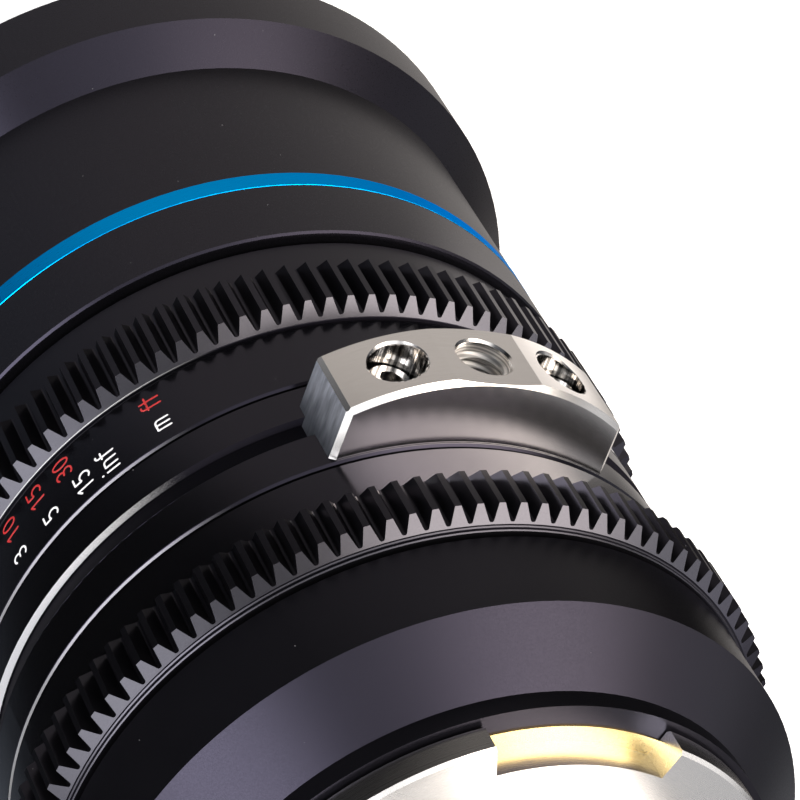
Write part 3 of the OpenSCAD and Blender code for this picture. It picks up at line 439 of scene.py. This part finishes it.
def foot_steel():
    """The foot's steel: fine lines along its length, sawn ends, and painted light and dark bands on the walls
    of the screw holes, standing for reflections.
    """
    n = Finish("foot_steel")
    streak = n.noise(1.0, STREAK_DETAIL, n.scaled(FOOT_LINES), STREAK_ROUGH)
    n.bump(streak, 0.3, 0.8e-6)
    plain = n.mix(streak, grey(0.72, WARM), grey(0.86, WARM))
    end = n.math("MULTIPLY", n.ramp(n.math("ABSOLUTE", n.normal()[0]), 0.9, 0.97),
                 n.math("GREATER_THAN", n.math("ABSOLUTE", n.xyz()[0]), (FOOT_HALF - 0.2) * MM))
    # Painted reflections: light and dark bands round the walls of the screw holes
    inside, reflection_bands = 0.0, 0.5
    for x_mid in FOOT_SCREWS_X:
        here = hole_wall(n, x_mid, SINK_R + 0.1, 0.35)
        wave = n.line_noise(n.math("MULTIPLY", hole_turn(n, x_mid), 1.1), 1.0)
        reflection_bands = n.math("ADD", n.math("MULTIPLY", here, n.math("SUBTRACT", wave, 0.5)), reflection_bands)
        inside = n.math("ADD", inside, here)
    wall = n.mix(n.ramp(reflection_bands, 0.38, 0.62, smooth=True), grey(0.12, WARM), grey(0.95, WARM))
    tapped = hole_wall(n, 0.0, SUPPORT_R + 0.12, 0.5)
    wall = n.mix(tapped, wall, painted_thread_lines(n))
    inside = n.math("MAXIMUM", inside, tapped)
    n.set(Base_Color=n.mix(end, n.mix(inside, plain, wall), shaded_sawn_end(n)), Metallic=n.blend(end, 1.0, 0.94))
    polish = n.math("ADD", n.math("MULTIPLY", inside, -0.08), n.math("MULTIPLY", tapped, 0.24))
    n.set(Roughness=n.math("ADD", n.blend(end, 0.22, 0.42), polish))
    return n


def screw_steel():
    """Foot screws: bright heads, with painted shade darkening their sockets."""
    n, _ = metal("screw_steel", 0.2, EVEN_STREAKS, 0.5e-6)
    dark = 0.0
    # Painted shade in the socket of each screw
    for x_mid in FOOT_SCREWS_X:
        dark = n.math("ADD", dark, n.ramp(hole_reach(n, x_mid), SOCKET_EDGE[0] * MM, SOCKET_EDGE[1] * MM))
    n.set(Base_Color=n.mix(dark, grey(0.66, WARM), grey(0.16, WARM)))
    return n


def coated_glass():
    """Clear optical glass with a thin anti-reflex film, whose thickness is in nanometres."""
    n = Finish("coated_glass")
    n.set(Base_Color=n.mix(n.noise(30.0, 1.0), (0.93, 0.97, 0.98, 1), (0.97, 0.98, 1.0, 1)))
    n.set(Transmission_Weight=1.0, IOR=1.6, Roughness=0.0, Thin_Film_Thickness=105.0, Thin_Film_IOR=1.38)
    return n


def paint(name, low, high):
    """Engraver's paint with a slightly uneven colour and surface."""
    n = Finish(name)
    n.set(Base_Color=n.mix(n.noise(2500.0), low, high), Roughness=0.35)
    n.bump(n.noise(6000.0), 0.3, 4e-6)
    return n


materials = {n.name: n.mat for n in (
    mottled("satin_black", 0.0015, 0.30, 7000.0, 2e-6),
    mottled("bead_black", 0.0018, 0.36, 5200.0, 6e-6),
    mottled("matt_black", 0.005, 0.75, 3000.0, 6e-6),
    mottled("bare_tube", 0.06, 0.4, 3000.0, 3e-6),
    mottled("slide_plastic", 0.6, 0.5, 2500.0, 3e-6, 0.05, False),
    gloss_black(), index_black(), edge_highlight(), gear_black(), accent_blue(),
    turned_steel(), foot_steel(), screw_steel(),
    streaked("bright_steel", 0.75, 0.22, EVEN_STREAKS),
    streaked("black_steel", 0.05, 0.4, EVEN_STREAKS),
    streaked("blade_steel", 0.05, 0.45, BLADE_STREAKS),
    streaked("brass", 0.62, 0.3, BRASS_STREAKS, BRASS),
    coated_glass(),
    paint("paint_white", (0.46, 0.46, 0.47, 1), (0.54, 0.54, 0.54, 1)),
    paint("paint_red", (0.26, 0.008, 0.009, 1), (0.33, 0.012, 0.012, 1)),
)}

# A node has the finish of its material slot, apart from four with a finish of their own
finish_of = {row["node"]: row["material_slot"] for row in frame["record"]["subparts"]}
finish_of.update(rear_barrel="bead_black", index_barrel="index_black", foot_screws="screw_steel",
                 support_foot="foot_steel")
for name, obj in nodes.items():
    obj.data.materials.clear()
    obj.data.materials.append(materials[finish_of[name]])


def mesh_object(name, verts, faces, smooth=False):
    """A new mesh object in the scene, from points in metres."""
    mesh = bpy.data.meshes.new(name)
    mesh.from_pydata(verts, [], faces)
    mesh.validate()
    for poly in mesh.polygons:
        poly.use_smooth = smooth
    obj = bpy.data.objects.new(name, mesh)
    scene.collection.objects.link(obj)
    return obj


def arc(cx, cy, rx, ry, start, end, steps=10):
    """Points of an elliptic arc between two angles in degrees."""
    angles = [math.radians(start + (end - start) * i / steps) for i in range(steps + 1)]
    return [(cx + rx * math.cos(a), cy + ry * math.sin(a)) for a in angles]


# Painted scales: a single-line font, laid on the rings as rounded strokes. Each glyph is its width
# and its lines, in millimetres. CAP and XH are the heights of capitals and of small letters.
CAP = 2.2
XH = 1.63
WIDE = 1.05
HALF = WIDE / 2
GLYPHS = {
    "0": (WIDE, [arc(HALF, CAP / 2, HALF, CAP / 2, 90, 450, 28)]),
    "1": (WIDE, [[(HALF, 0), (HALF, CAP), (HALF - 0.5, CAP - 0.42)]]),
    "2": (WIDE, [arc(HALF, CAP - 0.58, HALF, 0.58, 165, -25, 12) + [(0, 0), (WIDE, 0)]]),
    "3": (WIDE, [arc(0.42, CAP - 0.56, 0.5, 0.56, 140, -80, 12) + [(0.3, 1.14)],
                 [(0.3, 1.14)] + arc(0.44, 0.57, 0.6, 0.57, 70, -140, 14)]),
    "4": (WIDE, [[(0.8, 0), (0.8, CAP), (0, 0.62), (WIDE + 0.1, 0.62)]]),
    "5": (WIDE, [[(WIDE, CAP), (0.06, CAP), (0.02, 1.24)] + arc(0.42, 0.68, 0.63, 0.68, 120, -130, 14)]),
    "6": (WIDE, [[(0.85, CAP)] + arc(HALF, 0.66, HALF, 0.66, 160, 520, 24)]),
    "7": (WIDE, [[(0, CAP), (WIDE, CAP), (0.35, 0)]]),
    "8": (WIDE, [arc(HALF, CAP - 0.52, 0.44, 0.52, 0, 360, 20), arc(HALF, 0.58, HALF, 0.58, 0, 360, 20)]),
    "9": (WIDE, [[(0.2, 0)] + arc(HALF, CAP - 0.66, HALF, 0.66, -20, 340, 24)]),
    ".": (0.0, [[(0, 0.0), (0, 0.06)]]),
    "m": (1.53, [[(0, 0), (0, XH), (1.1, XH)] + arc(1.1, XH - 0.43, 0.43, 0.43, 90, 0, 6) + [(1.53, 0)],
                 [(0.76, 0), (0.76, XH)]]),
    "n": (0.98, [[(0, 0), (0, XH), (0.55, XH)] + arc(0.55, XH - 0.43, 0.43, 0.43, 90, 0, 6) + [(0.98, 0)]]),
    "i": (0.0, [[(0, 0), (0, XH)], [(0, CAP + 0.08), (0, CAP + 0.14)]]),
    "f": (0.62, [[(0, 0), (0, CAP - 0.3)] + arc(0.36, CAP - 0.3, 0.36, 0.4, 180, 70, 8),
                 [(-0.29, XH - 0.06), (0.63, XH - 0.06)]]),
    "t": (0.5, [[(0, 0), (0, CAP + 0.1)], [(-0.6, XH - 0.06), (0.61, XH - 0.06)]]),
    "T": (WIDE, [[(HALF, 0), (HALF, CAP)], [(0, CAP), (WIDE, CAP)]]),
}
GAP = 0.55
STARTS = {"inf": (-1.53, -0.74, 1.17), "ft": (-0.86, 0.23)}

# A paint stroke, in millimetres: half width, height, sink of its edges into the ring, spacing of its
# points along the line. END_TURNS are the angles of the rows that round off its ends.
STROKE = 0.132
PAINT_H = 0.02
PAINT_SINK = 0.02
STROKE_STEP = 0.06
STROKE_SIDES = 6
END_TURNS = (0.35, 0.7, 1.1, 1.5)


def text_strokes(text):
    """Polylines of a word in millimetres, centred on u, with the baseline at v = 0."""
    if text in STARTS:
        return [[(x + u, y) for x, y in line] for ch, u in zip(text, STARTS[text]) for line in GLYPHS[ch][1]]
    strokes, u, right = [], 0.0, 0.0
    for ch in text:
        width, lines = GLYPHS[ch]
        strokes += [[(x + u, y) for x, y in line] for line in lines]
        right = u + width
        u = right + GAP
    return [[(x - right / 2, y) for x, y in line] for line in strokes]


def resample(line):
    """The same line with points at even small steps."""
    points = [line[0]]
    for (x0, y0), (x1, y1) in zip(line, line[1:]):
        count = max(1, int(math.hypot(x1 - x0, y1 - y0) / STROKE_STEP))
        points += [(x0 + (x1 - x0) * i / count, y0 + (y1 - y0) * i / count) for i in range(1, count + 1)]
    return points


def rounded_end(row, way):
    """Rows that close a stroke beyond its first (way -1) or last (way 1) row, from the row outward."""
    u, v, du, dv, _ = row
    return [(u + way * du * STROKE * math.sin(t), v + way * dv * STROKE * math.sin(t), du, dv, math.cos(t))
            for t in END_TURNS]


def stroke_rows(line):
    """Points of a stroke, each with the line's direction there and the share of the full width."""
    points = resample(line)
    rows = []
    for i, (u, v) in enumerate(points):
        before, after = points[max(i - 1, 0)], points[min(i + 1, len(points) - 1)]
        du, dv = after[0] - before[0], after[1] - before[1]
        size = math.hypot(du, dv) or 1.0
        rows.append((u, v, du / size, dv / size, 1.0))
    return rounded_end(rows[0], -1.0)[::-1] + rows + rounded_end(rows[-1], 1.0)


def stroke_mesh(name, words):
    """Rounded paint strokes on a ring. A word is (strokes, Z of its middle, baseline angle)."""
    verts, faces = [], []
    ring = STROKE_SIDES + 1
    for strokes, z_mid, angle in words:
        for line in strokes:
            rows = stroke_rows(line)
            start = len(verts)
            last = start + (len(rows) - 1) * ring
            for u, v, du, dv, share in rows:
                for k in range(ring):
                    t = math.pi * k / STROKE_SIDES
                    off = STROKE * share * math.cos(t)
                    sink = PAINT_SINK if k in (0, STROKE_SIDES) else 0.0
                    r = RING_R + PAINT_H * math.sin(t) * (0.25 + 0.75 * share) - sink
                    a = math.radians(angle) + (v + du * off) / RING_R
                    verts.append((r * math.cos(a) * MM, r * math.sin(a) * MM, (z_mid - (u - dv * off)) * MM))
            for row in range(start, last, ring):
                for k in range(ring):
                    a, b = row + k, row + (k + 1) % ring
                    faces.append((a, a + ring, b + ring, b))
            faces.append(tuple(start + k for k in range(ring)))
            faces.append(tuple(last + k for k in reversed(range(ring))))
    return mesh_object(name, verts, faces, smooth=True)


# Distance scale: a distance stands DEGREES_M / metres beyond infinity, apart from two nudged numbers
WHITE_Z = 71.6
RED_Z = 67.42
INF_ANGLE = -37.95
UNIT_ANGLE = -47.77
DEGREES_M = 61.3
FOOT_M = 0.3048
METRES = ("15", "5", "3", "2", "1.5", "1.2", "1", "0.8", "0.6", "0.5", "0.4", "0.35", "0.3", "0.25",
          "0.23")
FEET = ("30", "15", "10", "7", "5", "4", "3.5", "3", "2.5", "2", "1.5", "1.2", "1", "0.9", "0.8")
NUDGE_M = {"15": 0.86}
NUDGE_FT = {"30": 0.5}


def distance_words(numbers, unit, z, nudge):
    """Numbers of one scale at their places round the ring; unit is its length in metres."""
    return [(text_strokes(t), z, INF_ANGLE + DEGREES_M / (float(t) * unit) + nudge.get(t, 0.0))
            for t in numbers]


white_words = [(text_strokes("m"), WHITE_Z, UNIT_ANGLE), (text_strokes("inf"), WHITE_Z, INF_ANGLE)]
white_words += distance_words(METRES, 1.0, WHITE_Z, NUDGE_M)
red_words = [(text_strokes("ft"), RED_Z, UNIT_ANGLE)] + distance_words(FEET, FOOT_M, RED_Z, NUDGE_FT)
scale_white = stroke_mesh("scale_metres", white_words)
scale_red = stroke_mesh("scale_feet", red_words)

# Iris stops, each with the angle of its middle, and the index marks that both scales are read at
INDEX_ANGLE = 90.0
INDEX_MARGIN = 0.5
STOP_Z = 92.1
STOPS = (("T1.5", 114.0), ("2", 107.8), ("2.8", 100.5), ("4", 93.0), ("5.6", 85.5), ("8", 78.0), ("11", 70.5),
         ("16", 63.0), ("22", 55.5))
MID_DIGIT = CAP / 2 / math.radians(RING_R)
stop_words = [(text_strokes(t), STOP_Z, angle - MID_DIGIT) for t, angle in STOPS]
iris_stops = stroke_mesh("iris_stops", stop_words)


def index_mark(z0, z1):
    """A straight mark along the axis on the index barrel, a little shorter than its land."""
    half = (z1 - z0) / 2 - INDEX_MARGIN
    return [[(-half, 0.0), (half, 0.0)]], (z0 + z1) / 2, INDEX_ANGLE


index_marks = stroke_mesh("index_marks", [index_mark(INDEX_Z[0], GROOVE_Z[0]),
                                          index_mark(GROOVE_Z[1], INDEX_Z[1])])

for piece, finish, body in ((scale_white, "paint_white", "focus_ring"),
                            (scale_red, "paint_red", "focus_ring"),
                            (iris_stops, "paint_white", "iris_ring"),
                            (index_marks, "paint_white", "body")):
    piece.data.materials.append(materials[finish])
    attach(piece, body)


# Fine broken edges that catch the light
def edge_ring(name, radius, z, size, body, finish, steps=240, sides=6):
    """A thin rounded edge lying on a turned corner."""
    verts, faces = [], []
    for i in range(steps):
        turn = 2 * math.pi * i / steps
        after = (i + 1) % steps
        for k in range(sides):
            tilt = 2 * math.pi * k / sides
            beside = (k + 1) % sides
            r = radius + size * math.cos(tilt)
            verts.append((r * math.cos(turn) * MM, r * math.sin(turn) * MM, (z + size * math.sin(tilt)) * MM))
            faces.append((i * sides + k, after * sides + k, after * sides + beside, i * sides + beside))
    obj = mesh_object(name, verts, faces, smooth=True)
    obj.data.materials.append(materials[finish])
    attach(obj, body)


edge_ring("groove_edge", RING_R - 0.045, GROOVE_Z[1] + 0.045, 0.06, "body", "gloss_black")
# The focus gear's heel edge carries a painted highlight on one side
edge_ring("focus_gear_edge", FOCUS_HEEL_R - 0.01, FOCUS_HEEL_Z - 0.01, 0.08, "focus_ring",
          "edge_highlight")

# Screw threads: helical ridges that stand in from the plain bores of the CAD part. The ridge's foot
# is sunk into the bore, and its half widths at foot and crest are shares of the pitch.
RIDGE_SINK = 0.05
RIDGE_FOOT = 0.44
RIDGE_CREST = 0.08
SUPPORT_START = 0.45
FILTER_START = 0.5


def thread_ridge(name, place, major, minor, pitch, length, steps):
    """A ridge winding up a bore; place turns angle, radius and depth into a point in millimetres."""
    profile = ((RIDGE_SINK, -RIDGE_FOOT), (minor - major, -RIDGE_CREST), (minor - major, RIDGE_CREST),
               (RIDGE_SINK, RIDGE_FOOT))
    count = int(steps * length / pitch)
    points = [place(2 * math.pi * i / steps, major + dr, (i / steps + 0.5 + dp) * pitch)
              for i in range(count + 1) for dr, dp in profile]
    side = len(profile)
    faces = [(i * side + k, i * side + (k + 1) % side, (i + 1) * side + (k + 1) % side, (i + 1) * side + k)
             for i in range(count) for k in range(side)]
    faces += [(3, 2, 1, 0), tuple(count * side + k for k in range(side))]
    return mesh_object(name, [tuple(c * MM for c in point) for point in points], faces)


def in_foot(a, r, depth):
    return r * math.cos(a), -FOOT_REACH + SUPPORT_START + depth, FOOT_MID_Z + r * math.sin(a)


def in_rim(a, r, depth):
    return r * math.cos(a), r * math.sin(a), FILTER_START + depth


support_thread = thread_ridge("support_thread", in_foot, SUPPORT_R, 2.6, 1.27, SUPPORT_DEPTH - 2.0, 64)
filter_thread = thread_ridge("filter_thread", in_rim, FILTER_R, 40.55, 0.75, FILTER_DEPTH - 1.5, 240)
for piece, finish, slot in ((support_thread, "foot_steel", "machined_steel"),
                            (filter_thread, "satin_black", "satin_black")):
    piece.data.materials.append(materials[finish])
    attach(piece, "body")

# Camera at the photograph's view
CAM_AT = Vector((0.2186565, -0.2695870, 0.4143985))
CAM_RIGHT = Vector((-0.88394967, -0.31304984, 0.34732229))
CAM_UP = Vector((0.05527515, -0.80755738, -0.58719311))
CAM_BACK = Vector((0.46430339, -0.49985086, 0.73114395))
CAM_LENS = 188.632
camera = bpy.data.objects.new("camera", bpy.data.cameras.new("camera"))
scene.collection.objects.link(camera)
cam_turn = Matrix((CAM_RIGHT, CAM_UP, CAM_BACK)).transposed().to_4x4()
camera.matrix_world = Matrix.Translation(CAM_AT) @ cam_turn
camera.data.sensor_width = 36.0
camera.data.lens = CAM_LENS
camera.data.clip_start = 0.01
camera.data.clip_end = 50.0
scene.camera = camera

# Stage, in metres: a pale floor, and below it a card that only reflections see, in place of the floor
FLOOR_HALF = 6.0
FLOOR_Z = -0.0002
CARD_HALF = 0.3
CARD_Z = -0.0004


def flat_square(name, half, z):
    corners = [(-half, -half, 0), (half, -half, 0), (half, half, 0), (-half, half, 0)]
    obj = mesh_object(name, corners, [(0, 1, 2, 3)])
    obj.location.z = z
    return obj


floor = flat_square("floor", FLOOR_HALF, FLOOR_Z)
pale = Finish("pale_floor")
pale.set(Base_Color=pale.mix(pale.noise(6.0), grey(0.84), grey(0.87)), Roughness=0.8)
pale.set(Emission_Color=(1, 1, 1, 1), Emission_Strength=0.35)
floor.data.materials.append(pale.mat)
floor.visible_glossy = False

# The card's light: an ellipse, cool and dim at one side, warm and brighter at the other, with a bright
# spot in it, and a glow beyond it. Each pair of fade distances is where the light is none and full.
CARD_MID = (-0.006, 0.0)
CARD_REACH = (0.109, 0.165)
CARD_FADE = (1.06, 0.86)
ACROSS = (0.6, 0.8)
WARM_FADE = (0.055, -0.045)
CARD_COOL = (0.75, 0.85, 1.0, 1)
CARD_WARM = (1.0, 0.93, 0.88, 1)
CARD_LEVELS = (0.2, 0.57)
SPOT_AT = (-0.087, -0.057)
SPOT_FADE = (0.045, 0.012)
SPOT_LEVEL = 0.9
GLOW_AT = (-0.155, 0.055)
GLOW_FADE = (0.075, 0.035)
GLOW_LEVEL = 0.85


def card_finish():
    """The card's material: no colour of its own, only light."""
    n = Finish("bounce_card")
    x, y, _ = n.xyz()
    reach = n.length(n.math("DIVIDE", n.math("SUBTRACT", x, CARD_MID[0]), CARD_REACH[0]),
                     n.math("DIVIDE", n.math("SUBTRACT", y, CARD_MID[1]), CARD_REACH[1]))
    inside = n.ramp(reach, *CARD_FADE, smooth=True)
    across = n.math("ADD", n.math("MULTIPLY", x, ACROSS[0]), n.math("MULTIPLY", y, ACROSS[1]))
    warm = n.ramp(across, *WARM_FADE, smooth=True)
    spot = n.ramp(n.away(x, y, SPOT_AT), *SPOT_FADE, 0.0, SPOT_LEVEL, smooth=True)
    glow = n.ramp(n.away(x, y, GLOW_AT), *GLOW_FADE, 0.0, GLOW_LEVEL, smooth=True)
    level = n.math("ADD", n.blend(warm, *CARD_LEVELS), spot)
    n.set(Base_Color=(0, 0, 0, 1), Roughness=1.0, Specular_IOR_Level=0.0)
    n.set(Emission_Color=n.mix(warm, CARD_COOL, CARD_WARM))
    n.set(Emission_Strength=n.math("ADD", n.math("MULTIPLY", inside, level), glow))
    return n


card = flat_square("bounce_card", CARD_HALF, CARD_Z)
card.data.materials.append(card_finish().mat)
card.visible_camera = False
card.visible_diffuse = False
card.visible_shadow = False
card.visible_transmission = False

# Soft light panels in the world. Each is a direction, the angles from it, in degrees, up to which it is
# full and beyond which it is none, and a colour. The camera sees a plain pale backdrop instead.
PANELS = (
    ((-0.39, -0.52, 0.76), 14, 31, (9.0, 8.2, 7.4)),
    ((0.83, -0.12, 0.55), 13, 30, (8.0, 8.0, 8.2)),
    ((0.0, 0.2, 1.0), 10, 50, (0.3, 0.3, 0.31)),
    ((0.52, 0.24, 0.82), 6, 25, (4.0, 4.0, 4.1)),
    ((0.15, -0.75, 0.64), 10, 28, (1.5, 1.5, 1.5)),
    ((0.73, 0.5, 0.46), 8, 22, (1.6, 1.6, 1.62)),
    ((-0.87, -0.1, 0.48), 8, 26, (1.6, 1.6, 1.62)),
    ((-0.46, 0.5, 0.73), 8, 24, (0.5, 0.5, 0.51)),
    ((-0.58, 0.5, -0.64), 12, 40, (0.85, 0.85, 0.87)),
)
AMBIENT = (0.075, 0.08, 0.092)
BACKDROP = (0.86, 0.87, 0.88, 1)
world = bpy.data.worlds.new("studio")
scene.world = world
world.use_nodes = True
sky = Tree(world.node_tree)
direction = sky.add("ShaderNodeTexCoord").outputs["Generated"]


def panel(axis, inner, outer, colour):
    """The light of one panel in the direction that is looked at."""
    dot = sky.add("ShaderNodeVectorMath", operation="DOT_PRODUCT")
    sky.feed(dot.inputs[0], direction)
    sky.feed(dot.inputs[1], Vector(axis).normalized())
    fade = sky.ramp(dot.outputs["Value"], math.cos(math.radians(outer)), math.cos(math.radians(inner)),
                    smooth=True)
    scale = sky.add("ShaderNodeVectorMath", operation="SCALE")
    sky.feed(scale.inputs[0], colour)
    sky.feed(scale.inputs["Scale"], fade)
    return scale.outputs[0]


light = AMBIENT
for entry in PANELS:
    plus = sky.add("ShaderNodeVectorMath", operation="ADD")
    sky.feed(plus.inputs[0], light)
    sky.feed(plus.inputs[1], panel(*entry))
    light = plus.outputs[0]
by_camera = sky.add("ShaderNodeLightPath").outputs["Is Camera Ray"]
background = sky.tree.nodes["Background"]
sky.feed(background.inputs["Color"], sky.mix(by_camera, light, BACKDROP))
background.inputs["Strength"].default_value = 1.0
scene.view_settings.view_transform = "Standard"
